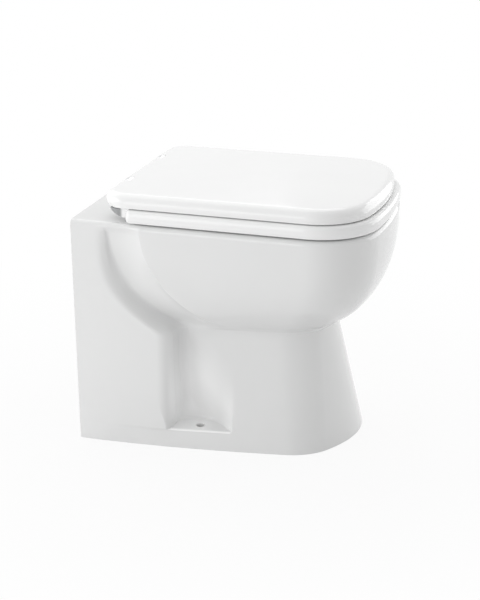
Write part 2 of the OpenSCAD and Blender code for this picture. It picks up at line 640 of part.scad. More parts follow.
module wing_nut() {
    top = rim_h - bush_depth - 1.6;
    color("whitesmoke") difference() {
        union() {
            translate([post_x, -stud_y, top - nut_h]) cylinder(h = nut_h, r = stud_r + 4, $fn = 48);
            translate([post_x - 17, -stud_y - 1.5, top - nut_h - 5]) cube([34, 3, nut_h + 4]);
        }
        translate([post_x, -stud_y, rim_h - 60]) cylinder(h = 80, r = stud_r + 0.02, $fn = 48);
    }
}

// A damper lies between x0 at the post and x1, with its vane held by the pin.
vane_r = damper_r - 1.4;
module damper_housing(x0, x1) {
    s = sign(x1 - x0);
    color("dimgray") difference() {
        axis_rod(x0, x1, damper_r);
        axis_rod(x0 + s * 3, x1 - s * 2, vane_r + 0.25);
        axis_rod(x0 - s, x0 + s * 5, pin_r + pin_gap);
    }
}

module damper_vane(x0, x1) {
    s = sign(x1 - x0);
    color("ivory") difference() {
        axis_rod(x0 + s * 3.3, x1 - s * 2.3, vane_r);
        axis_rod(x0 - s, x0 + s * (16 + 0.3), pin_r + 0.02);
    }
}

module bush(x0, x1) {
    color("whitesmoke") difference() {
        axis_rod(x0, x1, bush_r);
        axis_rod(x0 - 30, x1 + 30, pin_r + pin_gap);
    }
}

bumper_plug = 4;
bumper_plug_r = 4;
seat_bumper_spots = [[-157, -385], [157, -385], [-157, -165], [157, -165]];
lid_bumper_spots = [[-148, -400], [148, -400]];

// Socket for the plug of a bumper in a face at height z.
module bumper_socket(spot, z) {
    translate([spot.x, spot.y, z - 1]) cylinder(h = bumper_plug + 1.1, r = bumper_plug_r + 0.05, $fn = 32);
}

// A pad whose plug is pressed up into the part it moves with, from a face at height z.
module bumper(spot, z, stand) {
    color("lightgray") translate([spot.x, spot.y, z]) {
        cylinder(h = bumper_plug, r = bumper_plug_r, $fn = 32);
        translate([0, 0, -stand + rest_gap]) cylinder(h = stand - rest_gap, r = 7, $fn = 32);
    }
}

module seat_bumper(spot) {
    bumper(spot, seat_z, seat_gap);
}

module lid_bumper(spot) {
    bumper(spot, lid_z + lid_recess, lid_gap + lid_recess);
}

pan();
seat();
lid();
mirror([1, 0, 0]) hinge_post();  // hinge_post_left
hinge_post();  // hinge_post_right
mirror([1, 0, 0]) hinge_pin();  // hinge_pin_left
hinge_pin();  // hinge_pin_right
mirror([1, 0, 0]) base_gasket();  // base_gasket_left
base_gasket();  // base_gasket_right
mirror([1, 0, 0]) fixing_stud();  // fixing_stud_left
fixing_stud();  // fixing_stud_right
mirror([1, 0, 0]) deck_bush();  // deck_bush_left
deck_bush();  // deck_bush_right
mirror([1, 0, 0]) fixing_washer();  // fixing_washer_left
fixing_washer();  // fixing_washer_right
mirror([1, 0, 0]) wing_nut();  // wing_nut_left
wing_nut();  // wing_nut_right
damper_housing(-barrel_in, -barrel_in - damper_len);  // lid_damper_housing
damper_vane(-barrel_in, -barrel_in - damper_len);  // lid_damper_vane
damper_housing(ear_out, ear_out - damper_len);  // seat_damper_housing
damper_vane(ear_out, ear_out - damper_len);  // seat_damper_vane
bush(-ear_out + bush_len, -ear_out);  // seat_bush
bush(barrel_in, barrel_in + bush_len);  // lid_bush
seat_bumper(seat_bumper_spots[0]);  // seat_bumper_front_left
seat_bumper(seat_bumper_spots[1]);  // seat_bumper_front_right
seat_bumper(seat_bumper_spots[2]);  // seat_bumper_rear_left
seat_bumper(seat_bumper_spots[3]);  // seat_bumper_rear_right
lid_bumper(lid_bumper_spots[0]);  // lid_bumper_left
lid_bumper(lid_bumper_spots[1]);  // lid_bumper_right
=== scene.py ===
import math
import bmesh
import bpy
from mathutils import Matrix, Vector


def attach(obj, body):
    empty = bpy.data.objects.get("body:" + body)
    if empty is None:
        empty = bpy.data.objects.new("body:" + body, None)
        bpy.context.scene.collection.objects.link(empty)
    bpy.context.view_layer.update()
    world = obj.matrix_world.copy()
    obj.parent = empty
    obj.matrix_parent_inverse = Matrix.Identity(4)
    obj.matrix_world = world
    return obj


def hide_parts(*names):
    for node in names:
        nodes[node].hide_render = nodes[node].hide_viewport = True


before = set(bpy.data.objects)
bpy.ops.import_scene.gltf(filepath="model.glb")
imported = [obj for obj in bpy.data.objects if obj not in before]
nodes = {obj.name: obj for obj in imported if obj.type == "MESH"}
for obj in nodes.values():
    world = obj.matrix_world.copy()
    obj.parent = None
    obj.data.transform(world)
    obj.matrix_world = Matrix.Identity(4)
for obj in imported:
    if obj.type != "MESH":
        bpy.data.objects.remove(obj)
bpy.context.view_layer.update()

# ---------------------------------------------------------------- camera
# The view is from the left of the toilet and a little in front of it, from about a metre up and two
# metres away, down through a short telephoto lens.
camera_data = bpy.data.cameras.new("camera")
camera_data.sensor_width = 36
camera_data.lens = 74.77
azimuth = math.radians(-73.4)
elevation = math.radians(20.8)
camera_distance = 2.1993
camera_aim = Vector((0, -0.2372, 0.2170))
sight = Vector((-math.sin(azimuth) * math.cos(elevation), math.cos(azimuth) * math.cos(elevation),
                -math.sin(elevation)))
camera = bpy.data.objects.new("camera", camera_data)
camera.location = camera_aim - camera_distance * sight
camera.rotation_euler = sight.to_track_quat("-Z", "Y").to_euler()
bpy.context.scene.collection.objects.link(camera)
bpy.context.scene.camera = camera
bpy.context.scene.view_settings.view_transform = "Standard"

# ---------------------------------------------------------------- studio
# The toilet stands on a white paper floor in a white studio. Large soft boxes light it from behind, from
# above and from the right, and a narrow one on the left mirrors in the sides of the seat and the lid.


class Wire:
    """A socket of a material, on which sums can be written as plain expressions."""

    def __init__(self, tree, socket):
        self.tree = tree
        self.socket = socket

    def add(self, kind, settings, inputs, out=0):
        """Another node: its settings are set first, then the values or links of its sockets."""
        node = self.tree.nodes.new(kind)
        for name, value in settings.items():
            setattr(node, name, value)
        for name, value in inputs.items():
            if isinstance(value, Wire):
                self.tree.links.new(value.socket, node.inputs[name])
            else:
                node.inputs[name].default_value = value
        return Wire(self.tree, node.outputs[out])

    def maths(self, operation, a, b):
        return self.add("ShaderNodeMath", {"operation": operation}, {0: a, 1: b})

    def __add__(self, other):
        return self.maths("ADD", self, other)

    def __radd__(self, other):
        return self.maths("ADD", other, self)

    def __sub__(self, other):
        return self.maths("SUBTRACT", self, other)

    def __rsub__(self, other):
        return self.maths("SUBTRACT", other, self)

    def __mul__(self, other):
        return self.maths("MULTIPLY", self, other)

    def __rmul__(self, other):
        return self.maths("MULTIPLY", other, self)

    def __abs__(self):
        return self.maths("ABSOLUTE", self, 0.0)


def new_material(name):
    """A material, its surface shader's node, and a wire with the place on the object in metres."""
    made = bpy.data.materials.new(name)
    made.use_nodes = True
    shader = made.node_tree.nodes["Principled BSDF"]
    place = made.node_tree.nodes.new("ShaderNodeTexCoord")
    return made, shader, Wire(made.node_tree, place.outputs["Object"])


def feed(shader, inputs):
    """Values or wires for the sockets of a material's surface shader."""
    for name, value in inputs.items():
        if isinstance(value, Wire):
            value.tree.links.new(value.socket, shader.inputs[name])
        else:
            shader.inputs[name].default_value = value


def put_in_scene(name, mesh, material=None):
    piece = bpy.data.objects.new(name, mesh)
    bpy.context.scene.collection.objects.link(piece)
    if material:
        mesh.materials.append(material)
    return piece


def cloudy(place, scale, low=0.0, high=1.0):
    """A value that drifts between low and high over the surface, scale clouds to the metre."""
    cloud = place.add("ShaderNodeTexNoise", {}, {"Vector": place, "Scale": scale, "Detail": 3.0})
    return place.add("ShaderNodeMapRange", {}, {"Value": cloud, "From Min": 0.3, "From Max": 0.7,
                                                "To Min": low, "To Max": high})


def two_tone(share, first, last):
    """The colour at a share of the way from one colour to another, each a wire or three numbers."""
    first, last = [colour if isinstance(colour, Wire) else (*colour, 1) for colour in (first, last)]
    # On the Mix node sockets 6 and 7 are the two colours, and output 2 is the mixed one.
    return share.add("ShaderNodeMix", {"data_type": "RGBA"}, {0: share, 6: first, 7: last}, 2)


paper, paper_shader, paper_place = new_material("white_paper")
paper_tint = two_tone(cloudy(paper_place, 60), (0.80, 0.80, 0.80), (0.82, 0.82, 0.82))
feed(paper_shader, {"Base Color": paper_tint, "Roughness": 0.9, "Specular IOR Level": 0.1})

# The camera and the glaze see the paper as white, and it keeps a soft shadow round the foot.
foot_middle = (0, -0.25, 0)
shadow_reach, clean_from = 0.3, 1.0
white_in_shadow = 0.9
paper_in_gloss = 0.85
ray = paper_place.tree.nodes.new("ShaderNodeLightPath")
seen_direct = Wire(paper_place.tree, ray.outputs["Is Camera Ray"])
seen_in_gloss = Wire(paper_place.tree, ray.outputs["Is Glossy Ray"])
from_foot = paper_place.add("ShaderNodeVectorMath", {"operation": "DISTANCE"},
                            {0: paper_place, 1: foot_middle}, 1)
whiteness = paper_place.add("ShaderNodeMapRange", {"interpolation_type": "SMOOTHSTEP"}, {
    "Value": from_foot, "From Min": shadow_reach, "From Max": clean_from,
    "To Min": white_in_shadow, "To Max": 1.0})
white_light = paper_place.add("ShaderNodeEmission", {}, {"Color": (1, 1, 1, 1), "Strength": 1.0})
plain_paper = Wire(paper_place.tree, paper_shader.outputs["BSDF"])
paper_seen = paper_place.add("ShaderNodeMixShader", {}, {
    0: seen_direct * whiteness + seen_in_gloss * paper_in_gloss, 1: plain_paper, 2: white_light})
paper.node_tree.links.new(paper_seen.socket, paper.node_tree.nodes["Material Output"].inputs["Surface"])
paper_mesh = bpy.data.meshes.new("floor")
sheet = bmesh.new()
bmesh.ops.create_grid(sheet, x_segments=1, y_segments=1, size=12)
sheet.to_mesh(paper_mesh)
sheet.free()
floor = put_in_scene("floor", paper_mesh, paper)

# White where the camera looks past the object and where the glaze mirrors the room, softer for the
# light that falls on the object.
fill_strength = 0.57
room_in_gloss = 0.8
studio = bpy.data.worlds.new("studio")
bpy.context.scene.world = studio
studio.use_nodes = True
air = studio.node_tree
for old in list(air.nodes):
    air.nodes.remove(old)
path = air.nodes.new("ShaderNodeLightPath")
around = Wire(air, path.outputs["Is Camera Ray"])
mirrored = Wire(air, path.outputs["Is Glossy Ray"])
fill = around.add("ShaderNodeBackground", {}, {"Color": (1, 1, 1, 1), "Strength": fill_strength})
white = around.add("ShaderNodeBackground", {}, {"Color": (1, 1, 1, 1), "Strength": 1.0})
seen = around.add("ShaderNodeMixShader", {}, {0: around + mirrored * room_in_gloss, 1: fill, 2: white})
air.links.new(seen.socket, air.nodes.new("ShaderNodeOutputWorld").inputs["Surface"])


def soft_box(name, place, aim, wide, high, watts):
    """A rectangular lamp at a place in metres, turned to the point that it aims at."""
    lamp = bpy.data.lights.new(name, "AREA")
    lamp.shape = "RECTANGLE"
    lamp.size = wide
    lamp.size_y = high
    lamp.energy = watts
    box = bpy.data.objects.new(name, lamp)
    box.location = place
    box.rotation_euler = (Vector(aim) - Vector(place)).to_track_quat("-Z", "Y").to_euler()
    bpy.context.scene.collection.objects.link(box)


lid_left_side = (-0.18, -0.25, 0.40)
bowl_middle, rim_middle = (0, -0.25, 0.25), (0, -0.25, 0.30)
soft_box("left_box", place=(-2.6, 0.51, 0.65), aim=lid_left_side, wide=0.75, high=1.3, watts=5.5)
soft_box("rear_box", place=(-1.9, 2.2, 1.0), aim=bowl_middle, wide=2.0, high=2.0, watts=33)
soft_box("top_box", place=(1.1, 0.8, 2.5), aim=rim_middle, wide=3.4, high=3.4, watts=40)
soft_box("right_box", place=(2.3, -2.3, 0.85), aim=bowl_middle, wide=3.1, high=2.4, watts=40)

# ---------------------------------------------------------------- pan
# The pan is one hollow casting of vitreous china, slip cast in a plaster mould, then sprayed with
# white glaze and fired. Its boxed back stands against the wall, and its foot is bolted to the floor.

MM = 0.001


def clamp01(t):
    return min(max(t, 0.0), 1.0)


def mix(a, b, t):
    return a + (b - a) * t


def smooth(t):
    u = clamp01(t)
    return u * u * (3 - 2 * u)


def soft_min(a, b, k):
    h = clamp01(0.5 + 0.5 * (b - a) / k)
    return mix(b, a, h) - k * h * (1 - h)


def steps(first, last, count):
    """Evenly spaced values from first to last."""
    return [mix(first, last, i / count) for i in range(count + 1)]


def curve_through(points, count):
    """Points of a smooth line through the given ones, with count steps between each two."""
    line = [Vector(p) for p in points]
    made = []
    for i in range(len(line) - 1):
        before, a, b, after = line[max(i - 1, 0)], line[i], line[i + 1], line[min(i + 2, len(line) - 1)]
        for s in range(count):
            t = s / count
            made.append(0.5 * (2 * a + (b - before) * t + (2 * before - 5 * a + 4 * b - after) * t ** 2
                               + (3 * a - before - 3 * b + after) * t ** 3))
    return made + [line[-1]]


def loft(rings, ring_closed=False):
    """A skin pulled from a circle ring by ring, its points set on each ring in millimetres."""
    skin = bmesh.new()
    order = skin.verts.layers.int.new("order")
    circle = bmesh.ops.create_circle(skin, segments=len(rings[0]), radius=1)["verts"]
    for i, v in enumerate(circle):
        v[order] = i
        v.co = MM * Vector(rings[0][i])
    first = edge = skin.edges[:]
    for ring in rings[1:]:
        pulled = bmesh.ops.extrude_edge_only(skin, edges=edge)["geom"]
        moved = {v for v in pulled if isinstance(v, bmesh.types.BMVert)}
        for v in moved:
            v.co = MM * Vector(ring[v[order]])
        edge = [e for e in pulled if isinstance(e, bmesh.types.BMEdge) and moved.issuperset(e.verts)]
    if ring_closed:
        bmesh.ops.bridge_loops(skin, edges=first + edge)
    else:
        bmesh.ops.edgeloop_fill(skin, edges=first)
        bmesh.ops.edgeloop_fill(skin, edges=edge)
    bmesh.ops.recalc_face_normals(skin, faces=skin.faces)
    return skin


def rod(radius, start, end, sides=64):
    """A round bar between two places in millimetres."""
    bar = bmesh.new()
    start, end = MM * Vector(start), MM * Vector(end)
    turn = (end - start).to_track_quat("Z", "Y").to_matrix().to_4x4()
    bmesh.ops.create_cone(bar, cap_ends=True, segments=sides, radius1=MM * radius, radius2=MM * radius,
                          depth=(end - start).length, matrix=Matrix.Translation((start + end) / 2) @ turn)
    return bar


def ball(radius, centre):
    made = bmesh.new()
    bmesh.ops.create_uvsphere(made, u_segments=48, v_segments=24, radius=MM * radius,
                              matrix=Matrix.Translation(MM * Vector(centre)))
    return made


def block(low, high):
    """A box between its lowest and its highest corner in millimetres."""
    low, high = MM * Vector(low), MM * Vector(high)
    made = bmesh.new()
    bmesh.ops.create_cube(made, size=1, matrix=Matrix.Translation((low + high) / 2)
                          @ Matrix.Diagonal((*(high - low), 1)))
    return made


def x_bar(x0, x1, profile):
    """A bar along the width, from a closed profile of distances along the depth and heights."""
    return loft([[(x, y, z) for y, z in profile] for x in (x0, x1)])


def carve(body, changes):
    """The body after each change in turn, which adds, cuts away or keeps what it shares with a tool."""
    whole = put_in_scene("body", bpy.data.meshes.new("body"))
    body.to_mesh(whole.data)
    body.free()
    tools = []
    for operation, tool in changes:
        shape = put_in_scene("tool", bpy.data.meshes.new("tool"))
        tool.to_mesh(shape.data)
        tool.free()
        change = whole.modifiers.new("change", "BOOLEAN")
        change.operation = operation
        change.solver = "MANIFOLD"
        change.object = shape
        tools.append(shape)
    bpy.context.view_layer.update()
    done = bmesh.new()
    done.from_mesh(whole.evaluated_get(bpy.context.evaluated_depsgraph_get()).data)
    for shape in tools + [whole]:
        mesh = shape.data
        bpy.data.objects.remove(shape)
        bpy.data.meshes.remove(mesh)
    return done


def finished_piece(name, body, material, rides_on, node):
    """Makes the body a smooth-shaded piece that stands for a CAD node, with its creases kept sharp."""
    crease = math.radians(35)
    mesh = bpy.data.meshes.new(name)
    for face in body.faces:
        face.smooth = True
    body.to_mesh(mesh)
    body.free()
    mesh.set_sharp_from_angle(angle=crease)
    piece = put_in_scene(name, mesh, material)
    even = piece.modifiers.new("even shading", "WEIGHTED_NORMAL")
    even.keep_sharp = True
    even.weight = 50
    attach(piece, rides_on)
    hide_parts(node)


# Sizes of the casting, in millimetres. Depths are measured from the wall, and heights from the floor.
rim_h = 397
pan_depth = 504
box_half_w = 178.4
rim_half_w = 183.8
rim_corner_r, rim_front_r = 103, 672
waist_z = 207
waist_turn = 9
waist_depth = 410
waist_half_w = 137
foot_depth = 461
foot_corner_r, foot_front_r = 71, 286
belly_z = 378
belly_fullness, belly_undercut = 2.82, 1.19
taper_length = 450
taper_power = 1.7
foot_taper, waist_taper = 0.303, 0.449
wall_t = 11
shelf_z = 33
shelf_t = 14
shelf_edge_r, scoop_foot_r = 3.2, 5.5
deck_t = 18
rim_edge_r = 8
bowl_lip_r = 8
bowl_rim_w, bowl_front_w = 50, 40
bowl_rear = 150
bowl_front = pan_depth - bowl_front_w
bowl_half_w = rim_half_w - bowl_rim_w
bowl_mid = (bowl_rear + bowl_front) / 2
bowl_foot_z = 205
sump_y = 324
sump_r = 42
fixing_x, fixing_y, fixing_r = 137, 207, 7.5
stud_x, stud_y, deck_hole_r = 77.5, 76, 7


def foot_share(z):
    return clamp01(z / waist_z)


def belly_share(z):
    """Share of the way from the waist out to the rim, which the belly takes mostly just over the waist."""
    above = z - waist_z
    if abs(above) < waist_turn:
        above = (above + waist_turn) ** 2 / (4 * waist_turn)
    u = clamp01(above / (belly_z - waist_z))
    return (1 - (1 - u) ** belly_fullness) ** (1 / belly_undercut)


def plan_w(z):
    """Half the width of the plan at a height, before its taper."""
    return mix(mix(box_half_w, waist_half_w, foot_share(z)), rim_half_w, belly_share(z))


def plan_f(z):
    """How far the front lies from the wall at a height."""
    return mix(mix(foot_depth, waist_depth, foot_share(z)), pan_depth, belly_share(z))


def taper(z, y):
    """The share of its width that the plan keeps at a distance from the wall."""
    full = mix(foot_taper, waist_taper, foot_share(z)) * (1 - belly_share(z))
    return 1 - full * (abs(y) / taper_length) ** taper_power


# The valley between the boxed back and the bowl, which widens into the scoop over the shelf. Its lines lie
# at distances from the wall that grow from its head, under the rim, to its foot, at the waist.
valley_top_z = rim_h - 7
valley_h, lip_h = 180, 172
steep_head, steep_foot = 58, 168
steep_by_shelf, steep_by_waist = 163, 169
lip_head, lip_foot, lip_last = 57, 172, 175
lip_w_low, lip_w_belly = 92, 66
edge_w_shelf, edge_w_waist, edge_w_head = 8, 26, 20
bottom_w_shelf, bottom_w_waist, bottom_w_belly, bottom_w_head = 44, 17, 21, 9
valley_deep, scoop_deep = 54, 69
head_step, head_turn = 5, 18
straight_fall, foot_fall = 28, 35
meet_soft, lip_soft = 12, 24
scoop_turn, scoop_fade, climb_fade = 45, 120, 110
belly_foot_z, belly_turn = 205, 30
head_foot_z, head_fade = 290, 70


def valley_q(z):
    """Share of the way down the valley."""
    return min(max(valley_top_z - z, 0) / valley_h, 1.4)


def over_shelf(z):
    return smooth((z - shelf_z) / scoop_turn)


def on_belly(z):
    return smooth((z - belly_foot_z) / belly_turn)


def valley_depth(z):
    q = valley_q(z)
    deepest = mix(scoop_deep, valley_deep, smooth((z - shelf_z) / scoop_fade))
    fall = head_step * clamp01(q * head_turn) + straight_fall * q + foot_fall * q ** 7
    return soft_min(fall, deepest, meet_soft)


def valley_lines(z):
    """Distances from the wall of the valley's outer edge, steepest line, bottom and front lip."""
    over, belly, by_head = over_shelf(z), on_belly(z), smooth((z - head_foot_z) / head_fade)
    q = max(valley_top_z - z, 0) / lip_h
    steep = soft_min(mix(steep_head, steep_foot, valley_q(z) ** 3),
                     mix(steep_by_shelf, steep_by_waist, over), meet_soft)
    lip = soft_min(mix(lip_head, lip_foot, min(q * q, 3)), lip_last, lip_soft)
    edge_w = mix(edge_w_shelf, mix(edge_w_waist, edge_w_head, by_head), over)
    bottom_w = mix(bottom_w_waist, bottom_w_belly, belly)
    bottom_w = mix(bottom_w_shelf, mix(bottom_w, bottom_w_head, by_head), over)
    return steep - edge_w, steep, steep + bottom_w, lip + mix(lip_w_low, lip_w_belly, belly)


def fall_share(z, q, m):
    """Share of the valley's depth at share q of its wall, which is steepest at share m."""
    sharp_to_z, sharp_fade = 195, 35
    first, last, cut = 0.45, mix(0.55, 0.35, over_shelf(z)), 0.96
    turn = 1 - math.sqrt(1 - cut * cut)
    if q < cut * m:
        steep = first * (1 - math.sqrt(1 - (q / m) ** 2))
    elif q > 1 - cut * (1 - m):
        steep = 1 - last * (1 - math.sqrt(1 - ((1 - q) / (1 - m)) ** 2))
    else:
        steep = mix(first * turn, 1 - last * turn, (q - cut * m) / (1 - cut))
    gentle = smooth(smooth(0.5 * q / m if q < m else 0.5 + 0.5 * (q - m) / (1 - m)))
    return mix(steep, gentle, smooth((z - sharp_to_z) / sharp_fade))


def half_width(z, y, shelf):
    """Half the width at a height and a distance from the wall: boxed back, valley, bowl or pedestal."""
    full = plan_w(z) * taper(z, y)
    box = box_half_w * (1 - foot_taper * (abs(y) / taper_length) ** taper_power * (1 - z / rim_h))
    edge, steep, bottom, lip = valley_lines(z)
    if z < shelf:
        return mix(box, full, smooth(y / lip))
    deep = min(box_half_w - valley_depth(z), full)
    fall = fall_share(z, clamp01((y - edge) / (bottom - edge)), (steep - edge) / (bottom - edge))
    rise = clamp01((y - bottom) / (lip - bottom))
    by_shelf, by_bowl = rise ** 2.2, rise ** 2.3
    climb = mix(mix(by_shelf, smooth(rise), smooth((z - shelf_z) / climb_fade)), by_bowl, on_belly(z))
    return mix(box, mix(deep, full, climb), fall)


def side_distances(z, last):
    """Distances from the wall of the points down one side, in step with the valley at every height."""
    edge, steep, bottom, lip = valley_lines(z)
    closing = math.radians(74)
    turn = [math.sin(a) for a in steps(0, closing, 10)]
    return (steps(0, edge, 8)[:-1] + [mix(edge, steep, t) for t in turn]
            + [mix(bottom, steep, t) for t in turn[:0:-1]] + steps(bottom, lip, 22)[:-1]
            + steps(lip, last, 18))


def nose(z, inset):
    """The rounded front: corner centre, half angle of the front arc, both radii and the front."""
    w, f = plan_w(z) - inset, plan_f(z) - inset
    c = mix(foot_corner_r, rim_corner_r, belly_share(z)) - inset
    r = mix(foot_front_r, rim_front_r, belly_share(z)) - inset
    dy = math.sqrt((r - c) ** 2 - (w - c) ** 2)
    return w - c, f - r + dy, math.atan2(w - c, dy), c, r, f


def nose_points(z, inset, corner_steps, front_steps):
    x, y, angle, c, r, f = nose(z, inset)
    made = []
    for b in steps(0, math.pi / 2 - angle, corner_steps)[1:]:
        far = y + c * math.sin(b)
        made.append(((x + c * math.cos(b)) * taper(z, far), -far))
    for b in steps(angle, 0, front_steps)[1:]:
        far = f - r + r * math.cos(b)
        made.append((r * math.sin(b) * taper(z, far), -far))
    return made


def both_sides(half):
    """The left half of a plan after its right half."""
    return half + [(-x, y) for x, y in half[-2::-1]]


def pan_half(z, inset):
    """The right half of the outline at a height, moved in by inset, from the wall to the front."""
    side = [(half_width(z, y, shelf_z) - inset, -y) for y in side_distances(z, nose(z, inset)[1])]
    return side + nose_points(z, inset, 26, 18)


def pan_ring(half):
    """A closed ring from its right half, its ends pulled past the wall line, with points along the back."""
    past_wall = 4
    loop = list(half) + [(-x, y, z) for x, y, z in half[-2::-1]]
    w, z = loop[0][0], loop[0][2]
    loop[0], loop[-1] = (w, past_wall, z), (-w, past_wall, z)
    return loop + [(x, past_wall, z) for x in steps(-w, w, 12)[1:-1]]


def level_ring(z, inset=0):
    return pan_ring([(x, y, z) for x, y in pan_half(z, inset)])


def shelf_rings():
    """Rings over the shelf's rounded outer edge and up the soft hollow where its scoop begins."""
    outer, inner = pan_half(shelf_z - 0.2, 0), pan_half(shelf_z + 0.2, 0)
    rounding = [0.45 * max(p[0] - q[0], 0) for p, q in zip(outer, inner)]
    quarter = [(math.sin(math.radians(a)), math.cos(math.radians(a))) for a in steps(0, 90, 6)]
    made = []
    for s, c in quarter:
        edge = [min(shelf_edge_r, most) for most in rounding]
        made.append([(p[0] - e * (1 - c), p[1], shelf_z - e * (1 - s)) for p, e in zip(outer, edge)])
    for s, c in quarter:
        edge = [min(scoop_foot_r, most) for most in rounding]
        made.append([(q[0] + e * (1 - s), q[1], shelf_z + e * (1 - c)) for q, e in zip(inner, edge)])
    return made


def bowl_size(k):
    """Inside of the bowl at share k of the way down: half width, rear, front and height."""
    foot = sump_r + 1.5
    side_round, front_round = (1 - k) ** 0.55, (1 - k) ** 0.5
    return (mix(foot, bowl_half_w, side_round), mix(bowl_rear, sump_y - foot, k),
            mix(sump_y + foot, bowl_front, front_round), mix(rim_h - bowl_lip_r, bowl_foot_z, k))


def bowl_ring(base, w, rear, front, z):
    """A ring of the bowl with a point at the bearing of each point of a base outline."""
    middle, length = (rear + front) / 2, (front - rear) / 2
    made = []
    for x, y, _ in base:
        b = math.atan2(x, -y - bowl_mid)
        made.append((w * math.sin(b), -middle - length * math.cos(b), z))
    return made


def pan_skin():
    """The outer skin from the floor to the rim, over the rim and down the inside of the bowl."""
    heights = [mix(shelf_z + 6, waist_z, k) for k in steps(0, 1, 26)]
    heights += [mix(waist_z, belly_z, k ** 1.7) for k in steps(0, 1, 34)[1:]]
    heights += steps(belly_z, rim_h - rim_edge_r, 4)[1:-1]
    rings = [level_ring(z) for z in (-3, 0, 8, 18, shelf_z - 4)]
    rings += [pan_ring(half) for half in shelf_rings()]
    rings += [level_ring(z) for z in heights]
    for a in steps(0, math.pi / 2, 8):
        rings.append(level_ring(rim_h - rim_edge_r * (1 - math.sin(a)), rim_edge_r * (1 - math.cos(a))))
    base = rings[-1]
    for a in steps(0, math.pi / 2, 6):
        g = bowl_lip_r * (1 - math.sin(a))
        rings.append(bowl_ring(base, bowl_half_w + g, bowl_rear - g, bowl_front + g,
                               rim_h - bowl_lip_r * (1 - math.cos(a))))
    rings += [bowl_ring(base, *bowl_size(k)) for k in steps(0, 1, 40)[1:]]
    return loft(rings)


def bowl_body():
    """The bowl's solid body, one wall thicker than its inside."""
    far = 300
    around = [(-far * math.sin(math.radians(b)), -bowl_mid - far * math.cos(math.radians(b)), 0)
              for b in range(0, 360, 5)]
    rings = []
    for k in steps(1, 0, 18):
        w, rear, front, z = bowl_size(k)
        rings.append(bowl_ring(around, w + wall_t, rear - wall_t, front + wall_t, z - wall_t * k))
    rings.append(bowl_ring(around, bowl_half_w + wall_t, bowl_rear - wall_t, bowl_front + wall_t, rim_h))
    return loft(rings)


def hollow_ring(z, plan_z, shelf):
    """A ring one wall inside the narrowest of the outline's near stretches, open past the wall line."""
    inset = wall_t + 1
    past_wall = 10
    belly_starts_z, look_up = 180, 12
    levels = (plan_z, plan_z + look_up) if plan_z > belly_starts_z else (plan_z,)
    side = []
    for y in steps(0, nose(plan_z, inset)[1] - 12, 22):
        near = min(half_width(level, max(y + s, 0), shelf) for s in (-15, -8, 0, 8, 15) for level in levels)
        side.append((near - wall_t, past_wall if y == 0 else -y))
    return [(x, y, z) for x, y in both_sides(side + nose_points(plan_z, inset, 6, 6))]


def hollow():
    """The room between the outer skin and the bowl, open at the floor and at the wall."""
    rings = [hollow_ring(z, max(z, 0), shelf_z) for z in (-6, shelf_z - shelf_t - 0.5)]
    rings += [hollow_ring(z, max(z, shelf_z + 1), 0)
              for z in (shelf_z - shelf_t, 70, 120, 165, 203, 217)]
    rings += [hollow_ring(z, z - 11, 0) for z in (231, 250, 275, 305, 345, rim_h - deck_t)]
    return loft(rings)


# The waterway: sump, rising and falling trap, outlet spigot and flush inlet.
trap_r, trap_wall = 35, 8
trap_bend, foot_bend = 50, 40
trap_rise, trap_fall = math.radians(60), math.radians(40)
foot_z, outlet_z = 114, 180
outlet_gap, outlet_len, outlet_r = 8, 45, 51
inlet_drop, inlet_r, inlet_wall = 62, 27.5, 7
inlet_z = rim_h - inlet_drop
inlet_end, jet_r, jet_wall = 44, 17, 7
weir_z = 205
crest_z = weir_z + trap_r - trap_bend
outlet_start = outlet_gap + outlet_len


def trap_line():
    """Centreline as distance from the wall and height: level, rise, crest, fall and level outlet."""
    lean = math.cos(trap_fall)
    drop = crest_z + trap_bend * lean - outlet_z - trap_bend * (1 - lean)
    crest_y = outlet_start + 2 * trap_bend * math.sin(trap_fall) + drop / math.tan(trap_fall)
    top = (crest_y + trap_bend * math.sin(trap_rise), crest_z + trap_bend * math.cos(trap_rise))
    foot_y = top[0] + (top[1] - foot_z) / math.tan(trap_rise) + foot_bend * math.tan(trap_rise / 2)
    line = [(sump_y, foot_z)]
    line += [(foot_y - foot_bend * math.sin(a), foot_z + foot_bend * (1 - math.cos(a)))
             for a in steps(0, trap_rise, 6)]
    line += [(crest_y + trap_bend * math.sin(a), crest_z + trap_bend * math.cos(a))
             for a in steps(trap_rise, -trap_fall, 10)]
    return line + [(outlet_start + trap_bend * math.sin(a), outlet_z + trap_bend * (1 - math.cos(a)))
                   for a in steps(trap_fall, 0, 6)]


def trap_tube(radius, tail):
    line = trap_line() + [(tail, outlet_z)]
    rings = []
    for i, (y, z) in enumerate(line):
        ahead, behind = line[min(i + 1, len(line) - 1)], line[max(i - 1, 0)]
        along = Vector((ahead[0] - behind[0], ahead[1] - behind[1])).normalized()
        rings.append([(radius * math.cos(a), -(y + radius * math.sin(a) * along.y),
                       z - radius * math.sin(a) * along.x) for a in steps(0, 2 * math.pi, 32)[:-1]])
    return loft(rings)


room_round_bowl = carve(hollow(), [("DIFFERENCE", bowl_body())])
sump_z = foot_z + 6
